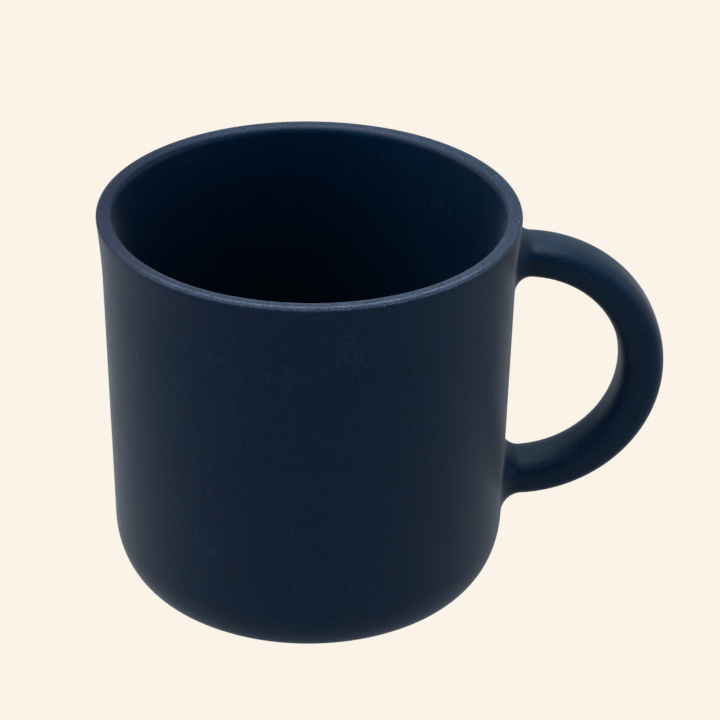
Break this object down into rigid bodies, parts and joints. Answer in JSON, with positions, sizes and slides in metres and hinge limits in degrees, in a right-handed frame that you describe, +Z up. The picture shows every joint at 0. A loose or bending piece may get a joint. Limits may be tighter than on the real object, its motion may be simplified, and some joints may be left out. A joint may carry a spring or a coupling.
{
  "type": "mug",
  "caption": "Straight-sided stoneware mug with a slightly flared rim, rounded heel, bare foot ring and a round loop handle, in matt dark blue glaze.",
  "frame": {"origin": "centre of the mug's bounding box on the plane it stands on; the cup's own axis stands at X = -16.3 mm", "axes": "+Z up along the cup's axis, +X from the cup's axis towards the handle, +Y completes a right-handed frame"},
  "size_m": [0.1206, 0.088, 0.0834],
  "materials": {
    "clay": "matte",
    "slip": "matte",
    "glaze": "matte"
  },
  "bodies": {
    "root": {"cup_body": "clay", "handle": "clay", "upper_slip_joint": "slip", "lower_slip_joint": "slip", "outer_glaze": "glaze", "inner_glaze": "glaze", "handle_glaze": "glaze"}
  },
  "joints": []
}
